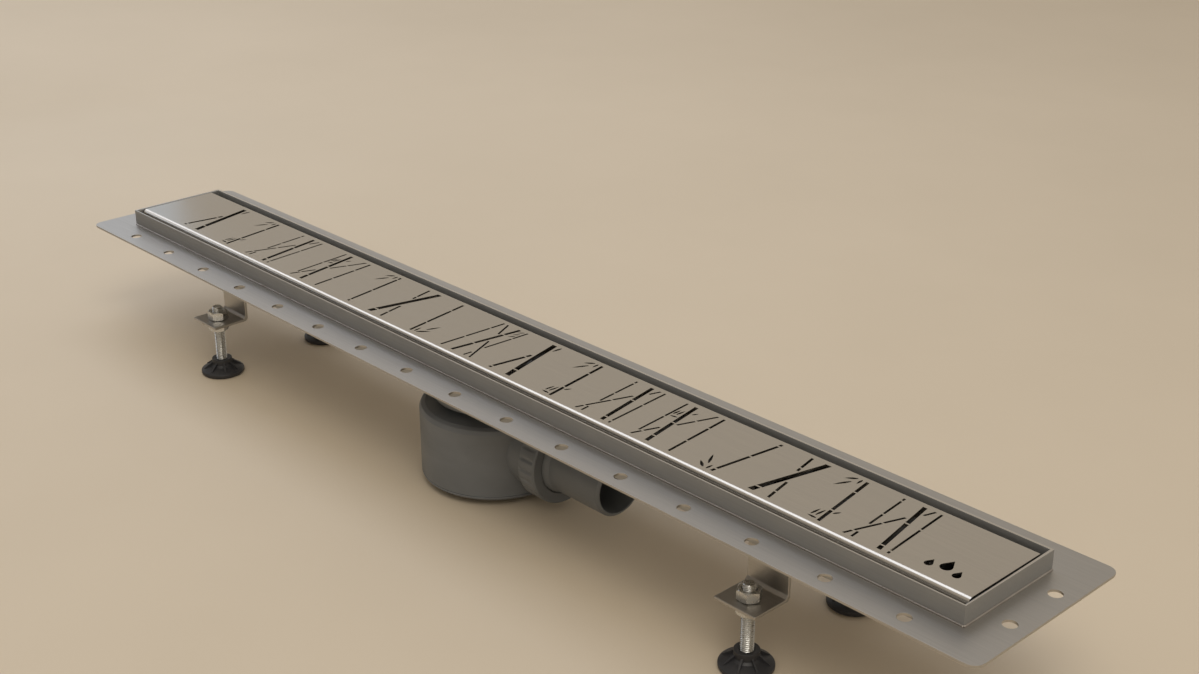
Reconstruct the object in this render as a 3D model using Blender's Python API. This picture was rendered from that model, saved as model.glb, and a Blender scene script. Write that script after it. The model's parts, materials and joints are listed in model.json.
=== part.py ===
"""Linear shower drain: a slotted, folded grate in a stainless channel, with its trap and legs.

Metres, +Z up, +X along the channel. The origin is the middle of the footprint on the slab that
the levelling feet stand on. Every piece is its own object; lifting, sliding and swivelling
pieces hang on empties that sit on their joint axes.
"""

import math

import bmesh
import bpy

# Clearance between neighbouring pieces
GAP = 0.0003

# Channel
HEIGHT = 0.096
CHANNEL_LENGTH = 0.800
CHANNEL_WIDTH = 0.077
SHEET = 0.0015
CHANNEL_DEPTH_ENDS = 0.021
CHANNEL_DEPTH_SUMP = 0.027
SUMP_HALF_LENGTH = 0.060
OUTLET_HOLE_RADIUS = 0.0265

# Bonding flange
FLANGE_DROP = 0.012
FLANGE_REACH = 0.025
FLANGE_CORNER = 0.008
FLANGE_HOLE_RADIUS = 0.004
FLANGE_HOLE_PITCH = 0.050
FLANGE_HOLES_A_SIDE = 16
FLANGE_END_HOLE_OFFSET = 0.020

# Grate
GRATE_LENGTH = 0.7946
GRATE_WIDTH = 0.066
GRATE_BEND = 0.004
GRATE_SKIRT = 0.012
GRATE_DROP = 0.0002
BEND_STEPS = 8
RIB_PLACES = (-0.372, -0.215, -0.075, 0.098, 0.2385, 0.352)
RIB_WIDTH = 0.018
RIB_HALF_SPAN = 0.021
PAD_WIDTH = 0.0057
PAD_HEIGHT = 0.007
PAD_BASE = 0.0025

# Slot pattern, in the plane of the grate
BAND = 0.0262
JOINT = 0.0012
THICK = 0.0040
STOUT = 0.0028
MEDIUM = 0.0020
THIN = 0.0015
LEAF = 0.0016
PROP_PLACES = (-0.3398, 0.0320)
SPRIG_PLACES = (-0.2912, 0.0772, 0.2897)
GATE_PLACES = (-0.2433, 0.1222, 0.3283)
FORK_PLACES = (-0.1937, 0.1597)
CROSS_PLACES = (-0.0888, 0.2620)
DROOP_PLACE = -0.1338
UPRIGHT_PLACE = 0.2204
LOW_PLACE = -0.0628
THICKET_PLACE = -0.0028
DROPS_PLACE = (0.372, -0.015)

# Legs
LEG_X = 0.270
LEG_Y = 0.0470
BRACKET_WIDTH = 0.030
BRACKET_SHEET = 0.002
BRACKET_HALF_WEB = 0.032
BRACKET_HALF_SPAN = 0.0590
BRACKET_BASE = 0.042
ROD_RADIUS = 0.004
ROD_TOP = 0.054
ROD_BOTTOM = 0.0033
NUT_RADIUS = 0.0075
NUT_HEIGHT = 0.0065
FOOT_RADIUS = 0.016

# Trap
TRAP_FLANGE_RADIUS = 0.040
TRAP_FLANGE_TOP = 0.0649
TRAP_FLANGE_THICKNESS = 0.004
GASKET_THICKNESS = 0.002
NECK_RADIUS = 0.029
NECK_BORE = 0.026
SEAT_BORE = 0.024
SEAT_LEVEL = 0.060
POT_RADIUS = 0.050
POT_TOP = 0.056
POT_BOTTOM = 0.005
POT_WALL = 0.0025
BASE_RING_HEIGHT = 0.0025
BASE_RING_WALL = 0.0017
CLAMP_RING_RADIUS = 0.036
CLAMP_RING_THICKNESS = 0.002
SCREW_CIRCLE = 0.0315
SCREW_HOLE = 0.0028
SCREW_RADIUS = 0.0024
SCREW_LENGTH = 0.0130
SCREW_HEAD_RADIUS = 0.0042
SCREW_HEAD_HEIGHT = 0.0030
BOSS_RADIUS = 0.005

# Outlet
OUTLET_LEVEL = 0.036
BALL_X = 0.066
BALL_RADIUS = 0.0225
PIPE_RADIUS = 0.020
PIPE_BORE = 0.0175
SOCKET_BORE = 0.023
SOCKET_RADIUS = 0.026
PIPE_END = 0.055
SEAL_WIDTH = 0.0025
UNION_RADIUS = 0.0295
UNION_OVERLAP = 0.0085
UNION_LIP = 0.0060

# Insert
TUBE_BORE = 0.015
TUBE_RADIUS = 0.017
TUBE_FOOT = 0.018
CUP_RADIUS = 0.0228
CUP_WALL = 0.0015
CUP_RIM = 0.044
CUP_BOTTOM = 0.010
COLLAR_RADIUS = 0.0253
COLLAR_HEIGHT = 0.0040
COLLAR_GROOVE = 0.0236

# Strainer
BASKET_RADIUS = 0.0135
BASKET_DEPTH = 0.0100
BASKET_WALL = 0.0010
STRAINER_RADIUS = 0.0246
STEM_RADIUS = 0.0022
KNOB_RADIUS = 0.0042
KNOB_TOP = 0.0070

# Facets around turned pieces
LARGE = 32
SMALL = 20
TINY = 12
HOLE = 10

STEEL = (0.50, 0.47, 0.43)
STEEL_DULL = (0.44, 0.44, 0.43)
ZINC = (0.62, 0.62, 0.60)
RUBBER = (0.02, 0.02, 0.02)
PLASTIC_GREY = (0.34, 0.36, 0.38)
PLASTIC_WHITE = (0.78, 0.78, 0.76)

RIM_TOP = HEIGHT
GRATE_TOP = RIM_TOP - GRATE_DROP
FLANGE_TOP = RIM_TOP - FLANGE_DROP
SUMP_FLOOR = RIM_TOP - CHANNEL_DEPTH_SUMP
INNER_HALF_LENGTH = CHANNEL_LENGTH / 2 - SHEET
INNER_HALF_WIDTH = CHANNEL_WIDTH / 2 - SHEET
TRAP_FLANGE_LOW = TRAP_FLANGE_TOP - TRAP_FLANGE_THICKNESS
OUTLET_CENTRE = (BALL_X, 0.0, OUTLET_LEVEL)


# ---------------------------------------------------------------- scene and objects


def clear_scene():
    for item in list(bpy.data.objects):
        bpy.data.objects.remove(item, do_unlink=True)


def make_material(name, colour, roughness, metallic):
    material = bpy.data.materials.new(name)
    material.use_nodes = True
    shader = material.node_tree.nodes["Principled BSDF"]
    shader.inputs["Base Color"].default_value = (*colour, 1.0)
    shader.inputs["Roughness"].default_value = roughness
    shader.inputs["Metallic"].default_value = metallic
    return material


def make_empty(name, place, parent=None):
    """An empty on a joint axis; pieces that move together are its children."""
    empty = bpy.data.objects.new(name, None)
    bpy.context.scene.collection.objects.link(empty)
    empty.parent = parent
    empty.location = place
    return empty


def make_object(name, mesh, finish, place=(0.0, 0.0, 0.0), parent=None, smooth=None):
    """Turn a bmesh into an object with its own material, faces pointing out."""
    bmesh.ops.recalc_face_normals(mesh, faces=mesh.faces)
    data = bpy.data.meshes.new(name)
    mesh.to_mesh(data)
    mesh.free()
    if smooth is not None:
        data.shade_smooth()
        data.set_sharp_from_angle(angle=math.radians(smooth))
    piece = bpy.data.objects.new(name, data)
    bpy.context.scene.collection.objects.link(piece)
    piece.parent = parent
    piece.location = place
    if finish is not None:
        data.materials.append(make_material(name, *finish))
    return piece


def make_guide(name, mesh, place=(0.0, 0.0, 0.0), parent=None):
    """A solid that only cuts or joins another piece."""
    guide = make_object(name, mesh, None, place, parent)
    guide.hide_render = True
    guide.display_type = "WIRE"
    return guide


def combine(piece, guide, operation="DIFFERENCE"):
    modifier = piece.modifiers.new(guide.name, "BOOLEAN")
    modifier.operation = operation
    modifier.solver = "EXACT"
    modifier.object = guide
    return piece


# ---------------------------------------------------------------- outlines and solids


def arc(centre, radius, start, end, steps):
    """Points on an arc, angles in degrees, both ends included."""
    points = []
    for step in range(steps + 1):
        angle = math.radians(start + (end - start) * step / steps)
        points.append((centre[0] + radius * math.cos(angle), centre[1] + radius * math.sin(angle)))
    return points


def circle(radius, steps, centre=(0.0, 0.0)):
    return arc(centre, radius, 0.0, 360.0 - 360.0 / steps, steps - 1)


def rectangle(half_u, half_v):
    return [(-half_u, -half_v), (half_u, -half_v), (half_u, half_v), (-half_u, half_v)]


def mirrored(points):
    """The points on the other side of u = 0, in the opposite order."""
    return [(-u, v) for u, v in reversed(points)]


def rounded_rectangle(half_u, half_v, radius, steps):
    points = []
    corners = ((1, -1, -90.0), (1, 1, 0.0), (-1, 1, 90.0), (-1, -1, 180.0))
    for side_u, side_v, start in corners:
        centre = (side_u * (half_u - radius), side_v * (half_v - radius))
        points += arc(centre, radius, start, start + 90.0, steps)
    return points


def add_prism(mesh, outline, axis, low, high):
    """Add a closed prism to mesh: the outline lies across the axis, from low to high on it."""

    def corner(point, depth):
        u, v = point
        return {"X": (depth, u, v), "Y": (u, depth, v), "Z": (u, v, depth)}[axis]

    first = [mesh.verts.new(corner(point, low)) for point in outline]
    last = [mesh.verts.new(corner(point, high)) for point in outline]
    mesh.faces.new(first)
    mesh.faces.new(last[::-1])
    for index in range(len(outline)):
        following = (index + 1) % len(outline)
        mesh.faces.new((first[following], first[index], last[index], last[following]))
    return mesh


def prism(outline, axis, low, high):
    return add_prism(bmesh.new(), outline, axis, low, high)


def add_turned(mesh, profile, steps, axis="Z"):
    """Add the body that a closed (radius, height) profile sweeps around the axis.

    A point of zero radius closes the end beside it with a flat cap.
    """

    def corner(radius, height, angle):
        side = radius * math.cos(angle)
        other = radius * math.sin(angle)
        return (side, other, height) if axis == "Z" else (height, side, other)

    angles = [2 * math.pi * step / steps for step in range(steps)]
    rings = []
    for radius, height in profile:
        around = angles if radius else ()
        rings.append([mesh.verts.new(corner(radius, height, angle)) for angle in around])
    for ring, following in zip(rings, rings[1:] + rings[:1]):
        if ring and following:
            for step in range(steps):
                after = (step + 1) % steps
                mesh.faces.new((ring[step], ring[after], following[after], following[step]))
        elif ring or following:
            mesh.faces.new(ring or following)
    return mesh


def turned(profile, steps, axis="Z"):
    return add_turned(bmesh.new(), profile, steps, axis)


def drill_circle(radius, depth_low, depth_high, circle_radius, count, steps, first_angle=0.0):
    """Cutters for a circle of equal round holes along Z."""
    mesh = bmesh.new()
    for index in range(count):
        angle = first_angle + 2 * math.pi * index / count
        centre = (circle_radius * math.cos(angle), circle_radius * math.sin(angle))
        add_prism(mesh, circle(radius, steps, centre), "Z", depth_low, depth_high)
    return mesh


# ---------------------------------------------------------------- slot pattern


def stalk(x, top, foot, width, joints=()):
    """Slots of one bamboo stalk from top to foot, bridged at the heights in joints.

    top and foot are (offset from x, height) points; a stout stalk swells at its joints.
    """
    (top_x, top_y), (foot_x, foot_y) = top, foot
    slope = (foot_x - top_x) / (foot_y - top_y)
    lean = math.hypot(1.0, slope)
    ends = [top_y]
    for joint in sorted(joints, reverse=True):
        ends += [joint + JOINT / 2, joint - JOINT / 2]
    ends.append(foot_y)

    def across(height, half):
        middle = x + top_x + slope * (height - top_y)
        return (middle - half * lean, height), (middle + half * lean, height)

    slots = []
    for upper, lower in zip(ends[0::2], ends[1::2]):
        levels = [(upper, 0.5), (lower, 0.5)]
        if width >= STOUT and upper - lower > 0.006:
            swell = 0.0012
            levels = [(upper, 0.56), (upper - swell, 0.5), (lower + swell, 0.5), (lower, 0.56)]
        sides = [across(height, share * width) for height, share in levels]
        slots.append([left for left, _ in sides] + [right for _, right in reversed(sides)])
    return slots


def leaf(x, base, tip, width=LEAF):
    """One pointed leaf from base to tip, both (offset from x, height)."""
    run, rise = tip[0] - base[0], tip[1] - base[1]
    length = math.hypot(run, rise)
    side = (-rise / length, run / length)
    left, right = [], []
    for share, half in ((0.0, 0.22), (0.35, 0.5), (0.7, 0.33)):
        middle = (x + base[0] + run * share, base[1] + rise * share)
        left.append((middle[0] + side[0] * half * width, middle[1] + side[1] * half * width))
        right.append((middle[0] - side[0] * half * width, middle[1] - side[1] * half * width))
    return [left + [(x + tip[0], tip[1])] + right[::-1]]


def prop_slots(x):
    """A thick leaning stalk, a thinner one propping it and a short shoot."""
    slots = stalk(x, (0.0, BAND), (0.0130, -BAND), THICK, (-0.0170,))
    slots += stalk(x, (0.0009, 0.0049), (-0.0043, -BAND), 0.0024, (0.0005, -0.0240))
    slots += leaf(x, (0.0065, BAND), (0.0059, 0.0180), 0.0020)
    return slots


def hanging_leaves(x, way=1):
    """Two leaves and a shoot beside the top of a stalk, or beside its foot if way is -1."""
    slots = leaf(x, (-0.0066, way * 0.0260), (-0.0126, way * 0.0212), 0.0021)
    slots += leaf(x, (-0.0072, way * 0.0206), (-0.0124, way * 0.0108), 0.0019)
    slots += leaf(x, (-0.0038, way * BAND), (-0.0036, way * 0.0205), 0.0017)
    return slots


def sprig_slots(x):
    """A single stalk with leaves at its top and a tuft at its foot."""
    slots = stalk(x, (0.0, BAND), (0.0080, -BAND), 0.0022, (0.0123, -0.0120))
    slots += hanging_leaves(x)
    slots += leaf(x, (0.0002, -0.0228), (0.0008, -0.0150))
    slots += leaf(x, (0.0030, -0.0222), (0.0037, -0.0140))
    slots += leaf(x, (0.0053, -0.0248), (-0.0008, -0.0246))
    slots += leaf(x, (0.0086, -0.0147), (0.0112, -0.0104))
    return slots


def gate_slots(x):
    """Thin, stout and thin stalks side by side, with a thin one slanting across them."""
    slots = stalk(x, (-0.0134, BAND), (-0.0099, -0.0092), THIN, (0.0230, 0.0043))
    slots += stalk(x, (-0.0089, -0.0198), (-0.0083, -BAND), THIN)
    slots += stalk(x, (0.0, BAND), (0.0093, -BAND), STOUT, (0.0054, -0.0216))
    slots += stalk(x, (0.0110, BAND), (0.0152, -BAND), THIN, (0.0052, -0.0234))
    slots += stalk(x, (0.0070, BAND), (0.0045, 0.0186), THIN)
    slots += stalk(x, (-0.0006, 0.0098), (-0.0137, -BAND), 0.0016, (-0.0035, -0.0205))
    return slots


def fork_slots(x):
    """A stout stalk with slanting arms, between two thin stalks, with a tuft of leaves."""
    slots = stalk(x, (-0.0074, BAND), (-0.0034, -0.0195), THIN, (0.0040,))
    slots += stalk(x, (0.0, BAND), (0.0095, -BAND), STOUT, (0.0015, -0.0185))
    slots += stalk(x, (0.0177, BAND), (0.0080, 0.0006), 0.0016, (0.0125,))
    slots += stalk(x, (0.0032, -0.0087), (-0.0034, -BAND), 0.0016, (-0.0190,))
    slots += stalk(x, (0.0228, BAND), (0.0276, -BAND), 0.0018, (0.0110, -0.0095))
    slots += leaf(x, (-0.0042, 0.0100), (-0.0038, 0.0170))
    slots += leaf(x, (-0.0018, 0.0105), (-0.0013, 0.0180))
    slots += leaf(x, (0.0009, 0.0082), (-0.0043, 0.0072))
    slots += leaf(x, (0.0048, 0.0170), (0.0069, 0.0208), 0.0014)
    return slots


def cross_slots(x):
    """A thick stalk crossed by a thin one that stops short of it on both sides."""
    slots = stalk(x, (0.0, BAND), (-0.0122, -BAND), THICK, (-0.0207,))
    slots += stalk(x, (-0.0117, BAND), (-0.0081, 0.0085), 0.0018, (0.0125,))
    slots += stalk(x, (-0.0034, -0.0058), (0.0008, -BAND), 0.0018, (-0.0182,))
    return slots


def lone_slots(x, way):
    """A single stalk with leaves beside its top, or stood on its head if way is -1."""
    joints = (way * 0.0225, -way * 0.0025, -way * 0.0235)
    slots = stalk(x, (0.0, way * BAND), (0.0080, -way * BAND), MEDIUM, joints)
    if way < 0:
        slots = stalk(x, (0.0072, BAND), (0.0, -BAND), MEDIUM, joints)
    return slots + hanging_leaves(x, way)


def low_slots(x):
    """A single stalk with a spray of leaves beside its foot."""
    slots = stalk(x, (0.0, BAND), (0.0081, -BAND), MEDIUM, (0.0143, -0.0102))
    slots += leaf(x, (0.0160, -0.0185), (0.0197, -0.0088), 0.0019)
    slots += leaf(x, (0.0134, -0.0253), (0.0206, -0.0183), 0.0021)
    slots += leaf(x, (0.0116, -0.0254), (0.0107, -0.0186))
    return slots


def thicket_slots(x):
    """Four stalks leaning both ways, with a tuft of leaves near the top."""
    slots = stalk(x, (-0.0160, BAND), (-0.0189, -BAND), 0.0017, (0.0143, -0.0065))
    slots += stalk(x, (0.0, BAND), (-0.0077, -BAND), 0.0026, (0.0135, -0.0095))
    slots += stalk(x, (-0.0122, BAND), (-0.0054, 0.0116), THIN)
    slots += stalk(x, (-0.0007, -0.0005), (0.0103, -BAND), THIN)
    slots += stalk(x, (0.0078, BAND), (0.0056, -0.0095), THIN, (0.0130,))
    slots += stalk(x, (0.0049, -0.0196), (0.0045, -BAND), THIN)
    for top in (0.0254, 0.0212, 0.0170):
        slots += leaf(x, (0.0054, top), (0.0018, top - 0.0036), 0.0014)
    return slots


def drop_slot(centre, height):
    """A plain water drop standing on its round end."""
    radius = height * 0.32
    middle = (centre[0], centre[1] - height / 2 + radius)
    return [[(centre[0], centre[1] + height / 2)] + arc(middle, radius, 152.0, 388.0, 9)]


def drops_slots(place):
    """Three plain drops, the middle one larger."""
    x, y = place
    slots = drop_slot((x, y + 0.0015), 0.0110)
    slots += drop_slot((x - 0.0085, y - 0.0025), 0.0075)
    slots += drop_slot((x + 0.0085, y - 0.0025), 0.0075)
    return slots


def slot_pattern():
    slots = []
    for places, motif in (
        (PROP_PLACES, prop_slots),
        (SPRIG_PLACES, sprig_slots),
        (GATE_PLACES, gate_slots),
        (FORK_PLACES, fork_slots),
        (CROSS_PLACES, cross_slots),
    ):
        for place in places:
            slots += motif(place)
    slots += lone_slots(DROOP_PLACE, 1)
    slots += lone_slots(UPRIGHT_PLACE, -1)
    slots += low_slots(LOW_PLACE)
    slots += thicket_slots(THICKET_PLACE)
    slots += drops_slots(DROPS_PLACE)
    return slots


# ---------------------------------------------------------------- grate


def folded_outline():
    """Section of the grate: a flat top with both long edges bent down."""
    half = GRATE_WIDTH / 2
    centre = half - GRATE_BEND
    outer = [(half, -GRATE_SKIRT)]
    outer += arc((centre, -GRATE_BEND), GRATE_BEND, 0.0, 90.0, BEND_STEPS)
    inner = arc((centre, -GRATE_BEND), GRATE_BEND - SHEET, 90.0, 0.0, BEND_STEPS)
    inner += [(half - SHEET, -GRATE_SKIRT)]
    return outer + mirrored(outer) + mirrored(inner) + inner


def make_grate_panel(grate):
    half = GRATE_LENGTH / 2
    panel = prism(folded_outline(), "X", -half, half)
    panel = make_object("grate_panel", panel, (STEEL, 0.32, 1.0), parent=grate, smooth=25)
    cutters = bmesh.new()
    for slot in slot_pattern():
        add_prism(cutters, slot, "Z", -2 * SHEET, SHEET)
    combine(panel, make_guide("grate_slots", cutters, parent=grate))


def floor_level(x):
    """Height of the channel's floor at x, from its flat sump up to its ends."""
    run = max(0.0, abs(x) - SUMP_HALF_LENGTH) / (INNER_HALF_LENGTH - SUMP_HALF_LENGTH)
    return SUMP_FLOOR + run * (CHANNEL_DEPTH_SUMP - CHANNEL_DEPTH_ENDS)


def make_rib(number, x, grate):
    """An inverted U of sheet under the panel, standing in two rubber shoes."""
    top = -SHEET - GAP
    seat = floor_level(abs(x) + RIB_WIDTH / 2) + GAP - GRATE_TOP
    foot = seat + PAD_BASE + GAP
    half = RIB_HALF_SPAN
    outline = [
        (half, foot),
        (half, top - SHEET),
        (half - SHEET, top),
        (-half + SHEET, top),
        (-half, top - SHEET),
        (-half, foot),
        (-half + SHEET, foot),
        (-half + SHEET, top - SHEET),
        (half - SHEET, top - SHEET),
        (half - SHEET, foot),
    ]
    rib = prism(outline, "X", -RIB_WIDTH / 2, RIB_WIDTH / 2)
    make_object(f"grate_rib_{number}", rib, (STEEL_DULL, 0.4, 1.0), (x, 0.0, 0.0), grate)
    for side, name in ((-1, "front"), (1, "back")):
        make_pad(f"rib_{number}_pad_{name}", x, side * (half - SHEET / 2), seat, grate)


def make_pad(name, x, y, seat, grate):
    """A rubber shoe whose groove takes the lower edge of a rib."""
    half = PAD_WIDTH / 2
    groove = SHEET / 2 + GAP
    outline = [
        (-half, seat),
        (half, seat),
        (half, seat + PAD_HEIGHT),
        (groove, seat + PAD_HEIGHT),
        (groove, seat + PAD_BASE),
        (-groove, seat + PAD_BASE),
        (-groove, seat + PAD_HEIGHT),
        (-half, seat + PAD_HEIGHT),
    ]
    pad = prism(outline, "X", -RIB_WIDTH / 2, RIB_WIDTH / 2)
    make_object(name, pad, (RUBBER, 0.7, 0.0), (x, y, 0.0), grate)


def make_grate():
    grate = make_empty("grate_axis", (0.0, 0.0, GRATE_TOP))
    make_grate_panel(grate)
    for number, x in enumerate(RIB_PLACES, start=1):
        make_rib(number, x, grate)


# ---------------------------------------------------------------- channel


def trough_side(half_length, top, drop):
    """Side view of the channel: level over the sump, rising to both ends."""
    end = RIM_TOP - CHANNEL_DEPTH_ENDS - drop
    sump = SUMP_FLOOR - drop
    return [
        (-half_length, top),
        (-half_length, end),
        (-SUMP_HALF_LENGTH, sump),
        (SUMP_HALF_LENGTH, sump),
        (half_length, end),
        (half_length, top),
    ]


def bend_long_edges(mesh, half_width, radius):
    """Round the folded edges between the floor and the long walls."""
    mesh.normal_update()
    folds = []
    for edge in mesh.edges:
        heights = [vert.co.z for vert in edge.verts]
        on_wall = all(abs(abs(vert.co.y) - half_width) < 1e-6 for vert in edge.verts)
        along = abs(edge.verts[0].co.x - edge.verts[1].co.x) > 0.01
        if on_wall and along and max(heights) < RIM_TOP - 0.01:
            folds.append(edge)
    bmesh.ops.bevel(mesh, geom=folds, offset=radius, segments=3, profile=0.5, affect="EDGES")
    return mesh


def make_channel():
    half_length = CHANNEL_LENGTH / 2
    half_width = CHANNEL_WIDTH / 2
    outer = prism(trough_side(half_length, RIM_TOP, SHEET), "Y", -half_width, half_width)
    bend_long_edges(outer, half_width, 0.0025)
    trough = make_object("channel_trough", outer, (STEEL_DULL, 0.35, 1.0), smooth=25)
    side = trough_side(INNER_HALF_LENGTH, RIM_TOP + 0.002, 0.0)
    inner = prism(side, "Y", -INNER_HALF_WIDTH, INNER_HALF_WIDTH)
    bend_long_edges(inner, INNER_HALF_WIDTH, 0.001)
    combine(trough, make_guide("trough_hollow", inner))
    low, high = SUMP_FLOOR - 0.005, SUMP_FLOOR + 0.005
    holes = prism(circle(OUTLET_HOLE_RADIUS, LARGE), "Z", low, high)
    combine(trough, make_guide("trough_outlet", holes))
    screws = drill_circle(SCREW_HOLE, low, high, SCREW_CIRCLE, 4, HOLE, math.pi / 4)
    combine(trough, make_guide("trough_screw_holes", screws))


def make_bonding_flange():
    """Perforated collar welded around the channel for the waterproofing and the tile bed."""
    half_length = CHANNEL_LENGTH / 2
    half_width = CHANNEL_WIDTH / 2
    outline = rounded_rectangle(
        half_length + FLANGE_REACH, half_width + FLANGE_REACH, FLANGE_CORNER, 4
    )
    plate = prism(outline, "Z", FLANGE_TOP - SHEET, FLANGE_TOP)
    flange = make_object("bonding_flange", plate, (STEEL_DULL, 0.4, 1.0), smooth=25)
    low, high = FLANGE_TOP - 2 * SHEET, FLANGE_TOP + SHEET
    window = prism(rectangle(half_length + GAP, half_width + GAP), "Z", low, high)
    combine(flange, make_guide("flange_window", window))
    holes = bmesh.new()
    row = half_width + FLANGE_REACH * 0.56
    for index in range(FLANGE_HOLES_A_SIDE):
        x = (index - (FLANGE_HOLES_A_SIDE - 1) / 2) * FLANGE_HOLE_PITCH
        for y in (-row, row):
            add_prism(holes, circle(FLANGE_HOLE_RADIUS, HOLE, (x, y)), "Z", low, high)
    column = half_length + FLANGE_REACH * 0.56
    for x in (-column, column):
        for y in (-FLANGE_END_HOLE_OFFSET, FLANGE_END_HOLE_OFFSET):
            add_prism(holes, circle(FLANGE_HOLE_RADIUS, HOLE, (x, y)), "Z", low, high)
    combine(flange, make_guide("flange_holes", holes))


# ---------------------------------------------------------------- legs


def make_bracket(name, x):
    """A hat-shaped strip under the channel whose wings carry two legs."""
    top = floor_level(abs(x) - BRACKET_WIDTH / 2) - SHEET - GAP
    base = BRACKET_BASE
    sheet = BRACKET_SHEET
    web = BRACKET_HALF_WEB
    span = BRACKET_HALF_SPAN
    half = [
        (span, base),
        (span, base + sheet),
        (web + sheet, base + sheet),
        (web, base + 2 * sheet),
        (web, top - sheet),
        (web - sheet, top),
    ]
    inner = [(web - sheet, top - sheet), (web - sheet, base + sheet), (web, base)]
    outline = half + mirrored(half) + mirrored(inner) + inner
    strip = prism(outline, "X", -BRACKET_WIDTH / 2, BRACKET_WIDTH / 2)
    bracket = make_object(name, strip, (STEEL_DULL, 0.4, 1.0), (x, 0.0, 0.0))
    holes = bmesh.new()
    for y in (-LEG_Y, LEG_Y):
        outline = circle(ROD_RADIUS + 0.0005, TINY, (0.0, y))
        add_prism(holes, outline, "Z", base - sheet, base + 2 * sheet)
    combine(bracket, make_guide(f"{name}_holes", holes, (x, 0.0, 0.0)))


def make_nut(name, place):
    hexagon = prism(circle(NUT_RADIUS, 6), "Z", 0.0, NUT_HEIGHT)
    nut = make_object(name, hexagon, (ZINC, 0.35, 1.0), place)
    bore = prism(circle(ROD_RADIUS + GAP, TINY), "Z", -0.001, NUT_HEIGHT + 0.001)
    combine(nut, make_guide(f"{name}_bore", bore, place))


def foot_profile():
    """A domed foot with a blind socket for the rod."""
    socket = ROD_RADIUS + GAP
    return [
        (0.0, 0.0),
        (FOOT_RADIUS - 0.001, 0.0),
        (FOOT_RADIUS, 0.001),
        (FOOT_RADIUS, 0.003),
        (FOOT_RADIUS - 0.002, 0.0045),
        (0.009, 0.0062),
        (0.0075, 0.0075),
        (0.0075, 0.0120),
        (socket, 0.0120),
        (socket, 0.0030),
        (0.0, 0.0030),
    ]


def make_leg(name, x, y):
    """A levelling leg: a threaded rod in a foot, held by a nut on each side of the bracket."""
    leg = make_empty(f"{name}_axis", (x, y, 0.0))
    chamfer = 0.0006
    rod = [
        (0.0, ROD_BOTTOM),
        (ROD_RADIUS - chamfer, ROD_BOTTOM),
        (ROD_RADIUS, ROD_BOTTOM + chamfer),
        (ROD_RADIUS, ROD_TOP - chamfer),
        (ROD_RADIUS - chamfer, ROD_TOP),
        (0.0, ROD_TOP),
    ]
    make_object(f"{name}_rod", turned(rod, TINY), (ZINC, 0.3, 1.0), parent=leg, smooth=40)
    foot = turned(foot_profile(), SMALL)
    make_object(f"{name}_foot", foot, (RUBBER, 0.6, 0.0), parent=leg, smooth=40)
    make_nut(f"{name}_nut_lower", (x, y, BRACKET_BASE - GAP - NUT_HEIGHT))
    make_nut(f"{name}_nut_upper", (x, y, BRACKET_BASE + BRACKET_SHEET + GAP))


def make_legs():
    make_bracket("leg_bracket_left", -LEG_X)
    make_bracket("leg_bracket_right", LEG_X)
    corners = ((-1, -1), (1, -1), (1, 1), (-1, 1))
    for number, (side_x, side_y) in enumerate(corners, start=1):
        make_leg(f"leg_{number}", side_x * LEG_X, side_y * LEG_Y)


# ---------------------------------------------------------------- trap


def ring_with_screw_holes(name, outer, low, high, finish):
    """A flat ring around the channel's outlet hole."""
    inner = OUTLET_HOLE_RADIUS
    profile = [(inner, low), (outer, low), (outer, high), (inner, high)]
    ring = make_object(name, turned(profile, LARGE), finish, smooth=40)
    holes = drill_circle(
        SCREW_HOLE, low - 0.001, high + 0.001, SCREW_CIRCLE, 4, HOLE, math.pi / 4
    )
    combine(ring, make_guide(f"{name}_holes", holes))


def make_clamping():
    """The gasket below the channel, the ring inside it and the screws through both."""
    top = TRAP_FLANGE_TOP + GAP + GASKET_THICKNESS
    ring_with_screw_holes(
        "trap_gasket", TRAP_FLANGE_RADIUS - 0.001, TRAP_FLANGE_TOP + GAP, top, (RUBBER, 0.7, 0.0)
    )
    ring_low = SUMP_FLOOR + GAP
    ring_high = ring_low + CLAMP_RING_THICKNESS
    ring_with_screw_holes(
        "clamp_ring", CLAMP_RING_RADIUS, ring_low, ring_high, (STEEL_DULL, 0.3, 1.0)
    )
    for index in range(4):
        angle = math.pi / 4 + index * math.pi / 2
        place = (SCREW_CIRCLE * math.cos(angle), SCREW_CIRCLE * math.sin(angle), ring_high + GAP)
        make_screw(f"clamp_screw_{index + 1}", place)


def make_screw(name, place):
    """A pan-head screw with a hexagon socket."""
    profile = [
        (0.0, -SCREW_LENGTH),
        (SCREW_RADIUS - 0.0006, -SCREW_LENGTH),
        (SCREW_RADIUS, -SCREW_LENGTH + 0.0010),
        (SCREW_RADIUS, 0.0),
        (SCREW_HEAD_RADIUS, 0.0),
        (SCREW_HEAD_RADIUS, SCREW_HEAD_HEIGHT - 0.0014),
        (SCREW_HEAD_RADIUS - 0.0008, SCREW_HEAD_HEIGHT - 0.0004),
        (SCREW_HEAD_RADIUS - 0.0020, SCREW_HEAD_HEIGHT),
        (0.0, SCREW_HEAD_HEIGHT),
    ]
    screw = make_object(name, turned(profile, TINY), (ZINC, 0.25, 1.0), place, smooth=40)
    socket = prism(circle(0.0015, 6), "Z", SCREW_HEAD_HEIGHT - 0.0018, SCREW_HEAD_HEIGHT + 0.001)
    combine(screw, make_guide(f"{name}_socket", socket, place))


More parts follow.
